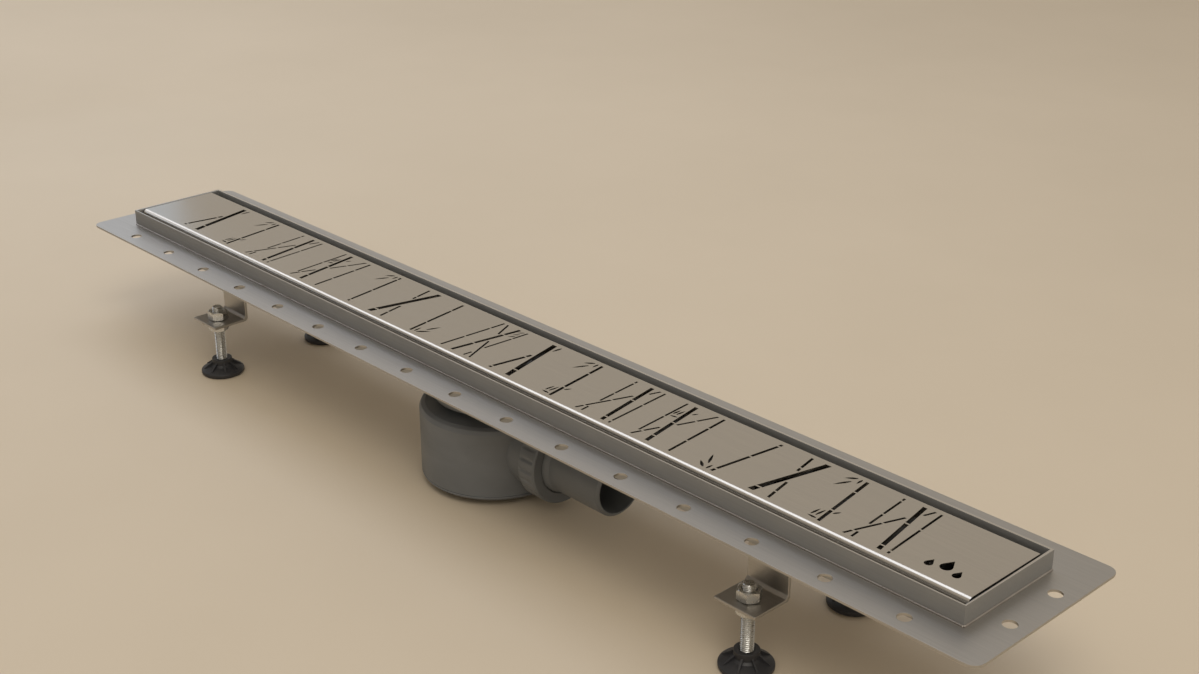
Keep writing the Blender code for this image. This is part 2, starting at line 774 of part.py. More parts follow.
def trap_outside(joint):
    """Outer profile of the trap above its base joint."""
    return [
        (0.0, joint),
        (POT_RADIUS, joint),
        (POT_RADIUS, POT_TOP - 0.004),
        (POT_RADIUS - 0.0012, POT_TOP - 0.0012),
        (POT_RADIUS - 0.004, POT_TOP),
        (NECK_RADIUS, POT_TOP),
        (NECK_RADIUS, TRAP_FLANGE_LOW),
        (TRAP_FLANGE_RADIUS, TRAP_FLANGE_LOW),
        (TRAP_FLANGE_RADIUS, TRAP_FLANGE_TOP),
        (0.0, TRAP_FLANGE_TOP),
    ]


def trap_inside(joint):
    """Profile of the pot's hollow, open below, and of the neck bored through above it."""
    inner = POT_RADIUS - POT_WALL
    ceiling = POT_TOP - POT_WALL
    past = 0.002
    return [
        (0.0, joint - past),
        (inner, joint - past),
        (inner, ceiling - 0.003),
        (inner - 0.003, ceiling),
        (SEAT_BORE, ceiling),
        (SEAT_BORE, SEAT_LEVEL),
        (NECK_BORE, SEAT_LEVEL),
        (NECK_BORE, TRAP_FLANGE_TOP + past),
        (0.0, TRAP_FLANGE_TOP + past),
    ]


def make_trap_body():
    """Trap pot, open below, with its neck, flange, screw bosses and side outlet socket."""
    joint = POT_BOTTOM + POT_WALL + GAP
    finish = (PLASTIC_GREY, 0.45, 0.0)
    body = make_object("trap_body", turned(trap_outside(joint), LARGE), finish, smooth=30)
    first_screw = math.pi / 4
    bosses = drill_circle(
        BOSS_RADIUS, POT_TOP - 0.001, TRAP_FLANGE_LOW + 0.001, SCREW_CIRCLE, 4, HOLE, first_screw
    )
    combine(body, make_guide("trap_bosses", bosses), "UNION")
    level = (0.0, 0.0, OUTLET_LEVEL)
    root = POT_RADIUS - 0.014
    socket = [(0.0, root), (SOCKET_RADIUS, root), (SOCKET_RADIUS, BALL_X), (0.0, BALL_X)]
    combine(body, make_guide("trap_socket", turned(socket, LARGE, "X"), level), "UNION")
    combine(body, make_guide("trap_hollow", turned(trap_inside(joint), LARGE)))
    start, end = POT_RADIUS - 0.020, BALL_X + 0.002
    bore = [(0.0, start), (SOCKET_BORE, start), (SOCKET_BORE, end), (0.0, end)]
    combine(body, make_guide("trap_outlet_bore", turned(bore, LARGE, "X"), level))
    holes = drill_circle(
        SCREW_HOLE, POT_TOP + 0.002, TRAP_FLANGE_TOP + 0.002, SCREW_CIRCLE, 4, HOLE, first_screw
    )
    combine(body, make_guide("trap_screw_holes", holes))


def make_trap_base():
    """The pot's welded-on bottom, whose ring stands inside the pot's wall."""
    ring = POT_RADIUS - POT_WALL - GAP
    floor = POT_BOTTOM + POT_WALL
    chamfer = 0.0012
    profile = [
        (0.0, POT_BOTTOM),
        (POT_RADIUS - chamfer, POT_BOTTOM),
        (POT_RADIUS, POT_BOTTOM + chamfer),
        (POT_RADIUS, floor),
        (ring, floor),
        (ring, floor + BASE_RING_HEIGHT),
        (ring - BASE_RING_WALL, floor + BASE_RING_HEIGHT),
        (ring - BASE_RING_WALL, floor),
        (0.0, floor),
    ]
    make_object("trap_base", turned(profile, LARGE), (PLASTIC_GREY, 0.45, 0.0), smooth=40)


def make_union():
    """The seal and the nut that hold the spigot's ball in the trap's socket."""
    low, high = GAP, GAP + SEAL_WIDTH
    inner = BALL_RADIUS + GAP
    seal = [(inner, low), (SOCKET_RADIUS, low), (SOCKET_RADIUS, high), (inner, high)]
    seal = turned(seal, LARGE, "X")
    make_object("outlet_seal", seal, (RUBBER, 0.6, 0.0), OUTLET_CENTRE, smooth=40)
    lip = high + GAP
    lip_radius = math.sqrt(BALL_RADIUS**2 - lip**2) + GAP
    mouth_radius = math.sqrt(BALL_RADIUS**2 - UNION_LIP**2) + GAP
    chamfer = 0.001
    nut = [
        (SOCKET_RADIUS + GAP, -UNION_OVERLAP),
        (UNION_RADIUS, -UNION_OVERLAP),
        (UNION_RADIUS, UNION_LIP - chamfer),
        (UNION_RADIUS - chamfer, UNION_LIP),
        (mouth_radius, UNION_LIP),
        (lip_radius, lip),
        (SOCKET_RADIUS + GAP, lip),
    ]
    nut = turned(nut, LARGE, "X")
    make_object("outlet_nut", nut, (PLASTIC_GREY, 0.5, 0.0), OUTLET_CENTRE, smooth=40)


def make_spigot():
    """The pipe end with the ball that swivels in the socket."""
    swivel = make_empty("outlet_axis", OUTLET_CENTRE)
    start = -0.0125
    merge = math.sqrt(BALL_RADIUS**2 - PIPE_RADIUS**2)
    first = math.degrees(math.acos(start / BALL_RADIUS))
    last = math.degrees(math.acos(merge / BALL_RADIUS))
    ball = arc((0.0, 0.0), BALL_RADIUS, first, last, 8)
    chamfer = 0.0015
    spigot = [(PIPE_BORE, start)]
    spigot += [(radius, height) for height, radius in ball]
    spigot += [(PIPE_RADIUS, PIPE_END - chamfer), (PIPE_RADIUS - chamfer, PIPE_END)]
    spigot += [(PIPE_BORE, PIPE_END)]
    spigot = turned(spigot, LARGE, "X")
    make_object("outlet_spigot", spigot, (PLASTIC_GREY, 0.45, 0.0), parent=swivel, smooth=30)


# ---------------------------------------------------------------- insert and strainer


def make_insert():
    """The lift-out water seal: a dip tube in a cup, sealed in the trap's neck."""
    insert = make_empty("insert_axis", (0.0, 0.0, SEAT_LEVEL + GAP))
    groove_low, groove_high = 0.0009, 0.0030
    tube = [
        (TUBE_BORE, TUBE_FOOT - SEAT_LEVEL),
        (TUBE_RADIUS, TUBE_FOOT - SEAT_LEVEL),
        (TUBE_RADIUS, -COLLAR_HEIGHT),
        (TUBE_RADIUS + 0.003, 0.0),
        (COLLAR_RADIUS, 0.0),
        (COLLAR_RADIUS, groove_low),
        (COLLAR_GROOVE, groove_low),
        (COLLAR_GROOVE, groove_high),
        (COLLAR_RADIUS, groove_high),
        (COLLAR_RADIUS, COLLAR_HEIGHT),
        (TUBE_BORE + 0.001, COLLAR_HEIGHT),
        (TUBE_BORE, groove_high),
    ]
    finish = (PLASTIC_WHITE, 0.4, 0.0)
    make_object("dip_tube", turned(tube, LARGE), finish, parent=insert, smooth=30)
    ring_radius = 0.0009
    centre = (COLLAR_GROOVE + GAP + ring_radius, (groove_low + groove_high) / 2)
    seal = turned(circle(ring_radius, 6, centre), LARGE)
    make_object("insert_seal", seal, (RUBBER, 0.5, 0.0), parent=insert, smooth=60)
    make_cup(insert)


def make_cup(insert):
    """A cup around the dip tube, with three ribs that grip the tube."""
    below = SEAT_LEVEL + GAP
    low, rim = CUP_BOTTOM - below, CUP_RIM - below
    inner = CUP_RADIUS - CUP_WALL
    profile = [
        (0.0, low),
        (CUP_RADIUS - 0.003, low),
        (CUP_RADIUS, low + 0.003),
        (CUP_RADIUS, rim),
        (inner, rim),
        (inner, low + CUP_WALL + 0.0025),
        (inner - 0.0025, low + CUP_WALL),
        (0.0, low + CUP_WALL),
    ]
    finish = (PLASTIC_WHITE, 0.4, 0.0)
    cup = make_object("seal_cup", turned(profile, LARGE), finish, parent=insert, smooth=30)
    ribs = bmesh.new()
    half = CUP_WALL / 2
    start, end = TUBE_RADIUS + GAP, inner + 0.0008
    for index in range(3):
        angle = 2 * math.pi * index / 3
        out, side = (math.cos(angle), math.sin(angle)), (-math.sin(angle), math.cos(angle))
        corners = []
        for reach, way in ((start, -1), (end, -1), (end, 1), (start, 1)):
            corners.append(tuple(reach * out[i] + way * half * side[i] for i in (0, 1)))
        add_prism(ribs, corners, "Z", low + 0.010, rim - 0.004)
    combine(cup, make_guide("cup_ribs", ribs, parent=insert), "UNION")


def make_strainer():
    """The hair basket that sits in the top of the dip tube, with a lifting knob."""
    seat = SEAT_LEVEL + COLLAR_HEIGHT + 2 * GAP
    strainer = make_empty("strainer_axis", (0.0, 0.0, seat))
    inner = BASKET_RADIUS - BASKET_WALL
    floor = BASKET_WALL - BASKET_DEPTH
    flange = 0.0012
    profile = [
        (0.0, -BASKET_DEPTH),
        (BASKET_RADIUS, -BASKET_DEPTH),
        (BASKET_RADIUS, 0.0),
        (STRAINER_RADIUS - 0.0004, 0.0),
        (STRAINER_RADIUS, flange / 2),
        (STRAINER_RADIUS - 0.0004, flange),
        (inner, flange),
        (inner, floor),
        (STEM_RADIUS, floor),
        (STEM_RADIUS, KNOB_TOP - 0.0040),
        (KNOB_RADIUS, KNOB_TOP - 0.0025),
        (KNOB_RADIUS, KNOB_TOP - 0.0010),
        (KNOB_RADIUS - 0.0008, KNOB_TOP),
        (0.0, KNOB_TOP),
    ]
    finish = (STEEL, 0.3, 1.0)
    basket = make_object("hair_strainer", turned(profile, SMALL), finish, parent=strainer, smooth=35)
    holes = bmesh.new()
    for circle_radius, count in ((0.0052, 6), (0.0092, 10)):
        for centre in circle(circle_radius, count):
            low, high = -BASKET_DEPTH - BASKET_WALL, floor + BASKET_WALL
            add_prism(holes, circle(0.0013, 6, centre), "Z", low, high)
    combine(basket, make_guide("strainer_holes", holes, parent=strainer))


clear_scene()
make_grate()
make_channel()
make_bonding_flange()
make_legs()
make_clamping()
make_trap_body()
make_trap_base()
make_union()
make_spigot()
make_insert()
make_strainer()
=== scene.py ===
"""Looks of the linear shower drain: finer pieces, materials, light and camera around the frame."""

import json
import math

import bmesh
import bpy
from mathutils import Matrix, Vector


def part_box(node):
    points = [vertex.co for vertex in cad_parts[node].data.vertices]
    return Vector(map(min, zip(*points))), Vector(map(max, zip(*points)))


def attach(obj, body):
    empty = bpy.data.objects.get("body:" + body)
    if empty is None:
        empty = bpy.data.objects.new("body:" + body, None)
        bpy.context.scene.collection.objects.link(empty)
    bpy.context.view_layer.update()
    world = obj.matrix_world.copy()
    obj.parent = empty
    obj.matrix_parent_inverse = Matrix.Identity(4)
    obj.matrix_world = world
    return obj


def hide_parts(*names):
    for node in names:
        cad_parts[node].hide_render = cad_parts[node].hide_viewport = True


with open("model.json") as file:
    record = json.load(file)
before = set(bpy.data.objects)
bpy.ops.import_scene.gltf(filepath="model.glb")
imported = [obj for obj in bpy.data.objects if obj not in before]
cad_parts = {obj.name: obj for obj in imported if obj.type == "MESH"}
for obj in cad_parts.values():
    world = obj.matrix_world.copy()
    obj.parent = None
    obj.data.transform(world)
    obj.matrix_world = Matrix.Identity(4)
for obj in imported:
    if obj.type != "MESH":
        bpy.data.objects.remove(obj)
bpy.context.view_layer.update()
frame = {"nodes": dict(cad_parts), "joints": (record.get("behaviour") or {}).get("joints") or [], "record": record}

RIM_LOW, RIM_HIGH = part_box("channel_trough")
RIM_CORNER = Vector((RIM_LOW.x, RIM_LOW.y, RIM_HIGH.z))
RIM_LENGTH = RIM_HIGH.x - RIM_LOW.x
CENTRE = (0.0, 0.0, 0.0)

# Camera: its place in rim lengths from the rim's front left corner, its angles in degrees
CAMERA_PLACE = (1.47065, -0.74861, 0.54813)
CAMERA_PITCH = 23.4527
CAMERA_YAW = 46.6199
CAMERA_LENS = 50.0
CAMERA_SENSOR = 36.0

# Surround, and the dark flag in it that the steel mirrors
SURROUND = (0.47, 0.43, 0.375, 1.0)
FLAG = (0.04, 0.04, 0.04, 1.0)
FLAG_TOWARDS = (-0.69, -0.69, 0.16)
FLAG_STARTS = 0.76
FLAG_IS_FULL = 0.97

# Lights and floor
COOL = (0.76, 0.84, 1.0)
WARM = (1.0, 0.95, 0.86)
BLUE = (0.40, 0.66, 1.0)
CARD_SIZE = (0.16, 0.26)
CARD_DISTANCE = 0.60
CARD_EDGE = (-0.012, 0.008)
FLOOR_HALF = 30.0
FLOOR_DROP = 0.0002

# Facets around turned pieces; nuts and screws need a multiple of six, the union nut one of its flutes
FINE = 96
MEDIUM = 64
SMALL = 40
COARSE = 32
NUT_FACETS = 72
SCREW_FACETS = 48
UNION_NUT_FACETS = 288
STRAINER_HOLE_FACETS = 24

# Reading the CAD nodes: metres between points that count as one, degrees between faces that count as
# one plane, metres from a section's plane, and a general tolerance
SAME_POINT = 1e-6
SAME_PLANE = 0.4
ON_SECTION = 2e-5
TOLERANCE = 1e-5

# Rounding of outlines: a side too short to have a direction, and the most that a corner takes of a side
NO_LENGTH = 1e-7
CORNER_SHARE = 0.45

# Sheet of the channel, gap around it, and how far cutters reach past what they cut
SHEET = 0.0015
FIT = 0.0003
OVERCUT = 0.0015

# Rounding of the edges of folded and flat pieces
PANEL_EDGE = 0.00018
RIB_EDGE = 0.00035
PAD_EDGE = 0.0005
TROUGH_EDGE = 0.0003
INNER_LIP = 0.0008
FLANGE_EDGE = 0.00025
BRACKET_EDGE = 0.0005

# Faces of the trough that look up: the rim's top down to a small depth, painted lighter as its highlight, and
# below it the bed
UPWARD = 0.9
HIGHLIGHT_DEPTH = 0.0004

# Bonding flange; its rows of holes lie outside the rim by the inset
FLANGE_CORNER = 0.008
FLANGE_HOLE_RADIUS = 0.004
FLANGE_HOLE_INSET = 0.014
FLANGE_HOLE_PITCH = 0.050
FLANGE_HOLES_A_SIDE = 16
FLANGE_END_HOLE = 0.020

# Weld beads
WELD_RADIUS = 0.0009
WELD_PITCH = 0.0022
WELD_RINGS_A_RIPPLE = 4
WELD_FACETS = 10
WELD_LEAST = 0.92
WELD_RIPPLE = 0.08
WELD_END = 0.7

# Levelling legs
NUT_BORE = 0.0043
NUT_COUNTERSINK = 0.0004
NUT_CROWN = 0.97
NUT_CHAMFER = 30.0
THREAD_PITCH = 0.00125
THREAD_DEPTH = 0.00065
THREAD_FLANK = 1.25
THREAD_ROWS = 10
ROD_CHAMFER = 0.0008
FOOT_RIBS = 8
FOOT_RIB_HALF = 0.0006
FOOT_RIB_BASE = 0.0036
FOOT_RIB_SIDE = ((0.0070, 0.0), (0.0142, 0.0), (0.0142, 0.0012), (0.0070, 0.0062))

# Clamp screws
SCREWS = [f"clamp_screw_{number}" for number in range(1, 5)]
SCREW_HOLE = 0.0028
SCREW_SHANK = 0.0024
SCREW_HEAD_HEIGHT = 0.0030
SCREW_HEAD_RIM = 0.0015
SCREW_HEAD_FLAT = 0.0019
SCREW_HEAD_EDGE = 0.0003
SCREW_HEAD_STEPS = 6
SCREW_TIP = 0.0008
KEY_APOTHEM = 0.0013
KEY_LIP = 0.00005
KEY_DEPTH = 0.0017

# Trap
SOCKET_RADIUS = 0.026
SOCKET_START = 0.036
BORE_RADIUS = 0.023
BORE_START = 0.030
BOSS_RADIUS = 0.005
BOSS_LOW = 0.0555
BOSS_BELOW_TOP = 0.003
SCREW_HOLE_LOW = 0.058

# Union nut
GRIP_FLUTES = 24
GRIP_DEPTH = 0.0009
GRIP_BAND = 0.0008
GRIP_WALL = 0.0003
GRIP_END = 0.0018
GRIP_LEAST_SPAN = 0.004
GRIP_RINGS = (0.12, 0.2, 0.8, 0.88)

# Water seal and strainer; a section is the angle at which the outline of a CAD node is read
CUP_SECTION = 56.25
CUP_RIBS = 3
CUP_RIB_WIDTH = 0.0015
CUP_RIB_BELOW = 0.010
CUP_RIB_ABOVE = 0.004
CUP_WALL_BITE = 0.0008
TUBE_OUTSIDE = 0.0173
STRAINER_SECTION = 18.0
STRAINER_CIRCLES = ((0.0052, 6), (0.0092, 10))
STRAINER_HOLE = 0.0013


# ---------------------------------------------------------------- materials


class Nodes:
    """Short ways to add and join shader nodes of one material."""

    def __init__(self, name):
        self.material = bpy.data.materials.new(name)
        self.material.use_nodes = True
        self.tree = self.material.node_tree
        self.shader = self.tree.nodes["Principled BSDF"]
        self.place = self.add("ShaderNodeTexCoord").outputs["Object"]

    def add(self, kind, **values):
        node = self.tree.nodes.new(kind)
        for key, value in values.items():
            setattr(node, key, value)
        return node

    def link(self, source, target):
        self.tree.links.new(source, target)

    def noise(self, scale, detail=3.0, roughness=0.55, distortion=0.0):
        """Noise over the piece's own space, with a scale for each axis in features a metre."""
        mapping = self.add("ShaderNodeMapping")
        mapping.inputs["Scale"].default_value = scale
        self.link(self.place, mapping.inputs["Vector"])
        noise = self.add("ShaderNodeTexNoise")
        noise.inputs["Scale"].default_value = 1.0
        noise.inputs["Detail"].default_value = detail
        noise.inputs["Roughness"].default_value = roughness
        noise.inputs["Distortion"].default_value = distortion
        self.link(mapping.outputs["Vector"], noise.inputs["Vector"])
        return noise.outputs["Fac"]

    def ranged(self, source, low, high, start=0.3, end=0.7):
        """Stretch a 0 to 1 signal between start and end to low and high."""
        ranged = self.add("ShaderNodeMapRange")
        ranged.inputs["From Min"].default_value = start
        ranged.inputs["From Max"].default_value = end
        ranged.inputs["To Min"].default_value = low
        ranged.inputs["To Max"].default_value = high
        self.link(source, ranged.inputs["Value"])
        return ranged.outputs["Result"]

    def maths(self, operation, first, second):
        node = self.add("ShaderNodeMath", operation=operation)
        for socket, value in zip(node.inputs, (first, second)):
            if isinstance(value, float):
                socket.default_value = value
            else:
                self.link(value, socket)
        return node.outputs["Value"]

    def colours(self, factor, first, second):
        mix = self.add("ShaderNodeMix", data_type="RGBA")
        self.link(factor, mix.inputs["Factor"])
        mix.inputs["A"].default_value = (*first, 1.0)
        mix.inputs["B"].default_value = (*second, 1.0)
        return mix.outputs["Result"]

    def bump(self, height, strength, distance):
        bump = self.add("ShaderNodeBump")
        bump.inputs["Strength"].default_value = strength
        bump.inputs["Distance"].default_value = distance
        self.link(height, bump.inputs["Height"])
        return bump.outputs["Normal"]

    def finish(self, colour, roughness, normal, metallic=0.0):
        self.link(colour, self.shader.inputs["Base Color"])
        self.link(roughness, self.shader.inputs["Roughness"])
        self.link(normal, self.shader.inputs["Normal"])
        self.shader.inputs["Metallic"].default_value = metallic
        return self.material


def scaled(colour, factor):
    return tuple(min(1.0, part * factor) for part in colour)


def brushed_steel(name, colour, roughness, grain, relief, stain):
    """Sheet steel brushed along X: long fine streaks, soft handling marks, some dull patches."""
    nodes = Nodes(name)
    streaks = nodes.noise((9.0, grain, grain), 4.0, 0.65)
    hairs = nodes.noise((45.0, grain * 3.3, grain * 3.3), 2.0, 0.5)
    blotches = nodes.noise((7.0, 16.0, 16.0), 3.0, 0.6, 0.4)
    half_streaks = nodes.maths("MULTIPLY", streaks, 0.5)
    half_hairs = nodes.maths("MULTIPLY", hairs, 0.5)
    grainy = nodes.maths("ADD", half_streaks, half_hairs)
    tint = nodes.maths("ADD", nodes.ranged(grainy, 0.0, 0.7), nodes.ranged(blotches, 0.0, stain))
    colour = nodes.colours(tint, scaled(colour, 1.05), scaled(colour, 0.90))
    rough = nodes.maths(
        "ADD",
        nodes.ranged(grainy, roughness - 0.04, roughness + 0.05),
        nodes.ranged(blotches, -0.02, 0.03),
    )
    normal = nodes.bump(grainy, relief, 0.0001)
    return nodes.finish(colour, rough, normal, 1.0)


def zinc_plate(name, colour, roughness):
    """Bright zinc plate with a fine crystalline mottle."""
    nodes = Nodes(name)
    mottle = nodes.noise((420.0, 420.0, 420.0), 3.0, 0.6)
    haze = nodes.noise((60.0, 60.0, 60.0), 2.0, 0.5)
    colour = nodes.colours(nodes.ranged(haze, 0.0, 1.0), colour, scaled(colour, 0.82))
    rough = nodes.ranged(mottle, roughness - 0.06, roughness + 0.10)
    return nodes.finish(colour, rough, nodes.bump(mottle, 0.12, 0.00005), 1.0)


def moulded(name, colour, roughness, grain, relief):
    """Moulded plastic or rubber: fine spark grain, faint flow marks and dust."""
    nodes = Nodes(name)
    spark = nodes.noise((grain, grain, grain), 2.0, 0.6)
    flow = nodes.noise((22.0, 22.0, 48.0), 3.0, 0.55, 0.6)
    tint = nodes.colours(nodes.ranged(flow, 0.0, 1.0), scaled(colour, 1.07), scaled(colour, 0.90))
    rough = nodes.maths(
        "ADD",
        nodes.ranged(flow, roughness - 0.04, roughness + 0.05),
        nodes.ranged(spark, -0.04, 0.04),
    )
    return nodes.finish(tint, rough, nodes.bump(spark, relief, 0.00008))


def weld_metal(name):
    """Weld metal: bright ripples with heat tint."""
    nodes = Nodes(name)
    heat = nodes.noise((90.0, 90.0, 90.0), 3.0, 0.6)
    colour = nodes.colours(nodes.ranged(heat, 0.0, 1.0), (0.50, 0.47, 0.43), (0.36, 0.32, 0.29))
    return nodes.finish(colour, nodes.ranged(heat, 0.26, 0.42), nodes.bump(heat, 0.2, 0.0001), 1.0)


def floor_paint(name):
    """Plain pale floor with a hardly visible grain."""
    nodes = Nodes(name)
    cloud = nodes.noise((2.0, 2.0, 2.0), 4.0, 0.6)
    grain = nodes.noise((500.0, 500.0, 500.0), 2.0, 0.5)
    colour = nodes.colours(nodes.ranged(cloud, 0.0, 1.0), (0.70, 0.595, 0.455), (0.66, 0.56, 0.425))
    return nodes.finish(colour, nodes.ranged(grain, 0.62, 0.72), nodes.bump(grain, 0.05, 0.0002))


MATERIALS = {
    "satin_steel": brushed_steel("satin_steel", (0.60, 0.555, 0.49), 0.20, 900.0, 0.045, 0.25),
    "channel_steel": brushed_steel("channel_steel", (0.46, 0.46, 0.455), 0.58, 700.0, 0.12, 0.30),
    "mill_steel": brushed_steel("mill_steel", (0.50, 0.475, 0.44), 0.40, 500.0, 0.10, 0.55),
    "zinc_steel": zinc_plate("zinc_steel", (0.70, 0.70, 0.68), 0.27),
    "black_rubber": moulded("black_rubber", (0.018, 0.018, 0.019), 0.62, 1500.0, 0.25),
    "foot_plastic": moulded("foot_plastic", (0.028, 0.028, 0.031), 0.48, 1800.0, 0.30),
    "trap_plastic": moulded("trap_plastic", (0.16, 0.17, 0.18), 0.42, 1600.0, 0.22),
    "insert_plastic": moulded("insert_plastic", (0.70, 0.70, 0.68), 0.36, 1600.0, 0.15),
}
WELD = weld_metal("weld_metal")
# Lighter, smoother steel for the rim's top faces: a painted highlight along the rim
PAINTED_RIM_HIGHLIGHT = brushed_steel("painted_rim_highlight", (0.66, 0.62, 0.56), 0.30, 1500.0, 0.12, 0.15)
CHANNEL_BED = brushed_steel("channel_bed", (0.50, 0.49, 0.47), 0.36, 500.0, 0.12, 0.50)
FLOOR = floor_paint("pale_floor")


# ---------------------------------------------------------------- pieces


def node_slot(node):
    for entry in frame["record"]["subparts"]:
        if entry["node"] == node:
            return entry["material_slot"]
    raise ValueError(node)


def node_body(node):
    for body, members in frame["record"]["behaviour"]["bodies"].items():
        if node in members:
            return body
    raise ValueError(node)


def make_piece(name, mesh, material, body, smooth=35.0):
    """Turn a bmesh into an object on a body, smooth except at edges sharper than smooth."""
    bmesh.ops.recalc_face_normals(mesh, faces=mesh.faces)
    data = bpy.data.meshes.new(name)
    mesh.to_mesh(data)
    mesh.free()
    data.shade_smooth()
    data.set_sharp_from_angle(angle=math.radians(smooth))
    data.materials.append(material)
    piece = bpy.data.objects.new(name, data)
    bpy.context.scene.collection.objects.link(piece)
    weighted = piece.modifiers.new("weighted normals", "WEIGHTED_NORMAL")
    weighted.keep_sharp = True
    weighted.weight = 100
    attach(piece, body)
    return piece


def stand_in(node, mesh, smooth=35.0):
    """A finer piece that replaces one node, on that node's body, with the material of its slot."""
    slot = node_slot(node)
    piece = make_piece(f"{node}_fine", mesh, MATERIALS[slot], node_body(node), smooth)
    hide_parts(node)
    return piece


def cad_mesh(node):
    """The node's mesh with coplanar triangles joined."""
    mesh = bmesh.new()
    mesh.from_mesh(frame["nodes"][node].data)
    bmesh.ops.remove_doubles(mesh, verts=mesh.verts, dist=SAME_POINT)
    bmesh.ops.dissolve_limit(
        mesh, angle_limit=math.radians(SAME_PLANE), verts=mesh.verts, edges=mesh.edges, delimit=set()
    )
    return mesh


def ease(mesh, width, segments=2, angle=28.0):
    """Round the edges of a mesh that turn by more than an angle."""
    edges = [
        edge for edge in mesh.edges
        if len(edge.link_faces) == 2 and edge.calc_face_angle(0.0) > math.radians(angle)
    ]
    bmesh.ops.bevel(
        mesh, geom=edges, offset=width, segments=segments, profile=0.5,
        affect="EDGES", clamp_overlap=True,
    )
    return mesh


def eased(node, width, segments=2, angle=28.0):
    """Replace a node by itself with its sharp edges rounded."""
    return stand_in(node, ease(cad_mesh(node), width, segments, angle))


# ---------------------------------------------------------------- turned pieces


def cad_runs(node, centre, axis, angle):
    """Runs of (radius, height) points of a turned node, in the half plane at an angle on its axis.

    Returns the runs, widest first, and whether there is a single one that closes on itself.
    """
    centre = Vector(centre)
    turn = math.radians(angle)
    mesh = bmesh.new()
    mesh.from_mesh(frame["nodes"][node].data)
    bmesh.ops.remove_doubles(mesh, verts=mesh.verts, dist=SAME_POINT)
    if axis == "Z":
        along, side, other = Vector((0, 0, 1)), Vector((1, 0, 0)), Vector((0, 1, 0))
    else:
        along, side, other = Vector((1, 0, 0)), Vector((0, 1, 0)), Vector((0, 0, 1))
    outward = side * math.cos(turn) + other * math.sin(turn)
    sideways = other * math.cos(turn) - side * math.sin(turn)
    inside = {}
    for vert in mesh.verts:
        offset = vert.co - centre
        if abs(offset.dot(sideways)) < ON_SECTION and offset.dot(outward) > TOLERANCE:
            inside[vert] = (offset.dot(outward), offset.dot(along))
    links = {vert: [] for vert in inside}
    for edge in mesh.edges:
        if edge.verts[0] in inside and edge.verts[1] in inside:
            links[edge.verts[0]].append(edge.verts[1])
            links[edge.verts[1]].append(edge.verts[0])
    runs, seen = [], set()
    ends = [vert for vert, others in links.items() if len(others) == 1]
    for start in sorted(ends or inside, key=lambda vert: inside[vert][1]):
        run = []
        while start is not None and start not in seen:
            seen.add(start)
            run.append(inside[start])
            start = next((vert for vert in links[start] if vert not in seen), None)
        if run:
            runs.append(run)
    mesh.free()
    runs.sort(key=lambda run: -max(radius for radius, _ in run))
    return runs, not ends


def cad_profile(node, centre, axis, angle):
    """The outline of a turned node whose section is a single run, and whether it is closed."""
    (outline,), closed = cad_runs(node, centre, axis, angle)
    return outline, closed


def bridge(mesh, ring, following):
    """Join two rings that have the same number of points by faces."""
    for step in range(len(ring)):
        after = (step + 1) % len(ring)
        mesh.faces.new((ring[step], ring[after], following[after], following[step]))


def rounded(outline, closed, radius, steps=4, least=20.0):
    """Round the corners of an outline that turn by more than least degrees."""
    points = [Vector(point) for point in outline]
    result = []
    for index, point in enumerate(points):
        if not closed and index in (0, len(points) - 1):
            result.append(tuple(point))
            continue
        before = points[index - 1] - point
        after = points[(index + 1) % len(points)] - point
        if min(before.length, after.length) < NO_LENGTH:
            continue
        turn = math.pi - before.angle(after)
        if turn < math.radians(least):
            result.append(tuple(point))
            continue
        tangent = radius * math.tan(turn / 2)
        tangent = min(tangent, CORNER_SHARE * before.length, CORNER_SHARE * after.length)
        first = point + before.normalized() * tangent
        last = point + after.normalized() * tangent
        for step in range(steps + 1):
            share = step / steps
            curve = first.lerp(point, share).lerp(point.lerp(last, share), share)
            result.append(tuple(curve))
    return result


def lathe(outline, closed, steps, centre=CENTRE, axis="Z", mesh=None):
    """Sweep an outline around an axis; an entry may be a function from angle to (radius, height)."""
    mesh = mesh or bmesh.new()
    centre = Vector(centre)
    rings = []
    for entry in outline:
        ring = []
        for step in range(steps):
            angle = 2 * math.pi * step / steps
            radius, height = entry(angle) if callable(entry) else entry
            side, other = radius * math.cos(angle), radius * math.sin(angle)
            place = (side, other, height) if axis == "Z" else (height, side, other)
            ring.append(mesh.verts.new(centre + Vector(place)))
        rings.append(ring)
    pairs = list(zip(rings, rings[1:]))
    if closed:
        pairs.append((rings[-1], rings[0]))
    else:
        mesh.faces.new(rings[0])
        mesh.faces.new(rings[-1])
    for ring, following in pairs:
        bridge(mesh, ring, following)
    return mesh


def turned_again(node, centre, axis="Z", angle=0.0, radius=0.0003, steps=FINE):
    """The node's own outline with rounded corners, turned with many more facets."""
    outline, closed = cad_profile(node, centre, axis, angle)
    return lathe(rounded(outline, closed, radius), closed, steps, centre, axis)


def drilled(mesh, cutters, operation="DIFFERENCE"):
    """Cut or join a bmesh with the closed bodies in another, and return the result."""
    pair = []
    for part in (mesh, cutters):
        bmesh.ops.recalc_face_normals(part, faces=part.faces)
        data = bpy.data.meshes.new("operand")
        part.to_mesh(data)
        part.free()
        item = bpy.data.objects.new("operand", data)
        bpy.context.scene.collection.objects.link(item)
        pair.append(item)
    modifier = pair[0].modifiers.new("combine", "BOOLEAN")
    modifier.operation = operation
    modifier.object = pair[1]
    graph = bpy.context.evaluated_depsgraph_get()
    result = bmesh.new()
    result.from_mesh(pair[0].evaluated_get(graph).to_mesh())
    for item in pair:
        data = item.data
        bpy.data.objects.remove(item)
        bpy.data.meshes.remove(data)
    return result


def drill(mesh, centre, radius, low, high, steps=COARSE):
    """Add an upright round bar to a mesh of cutters or bosses."""
    x, y = centre
    return lathe([(radius, low), (radius, high)], False, steps, (x, y, 0.0), "Z", mesh)


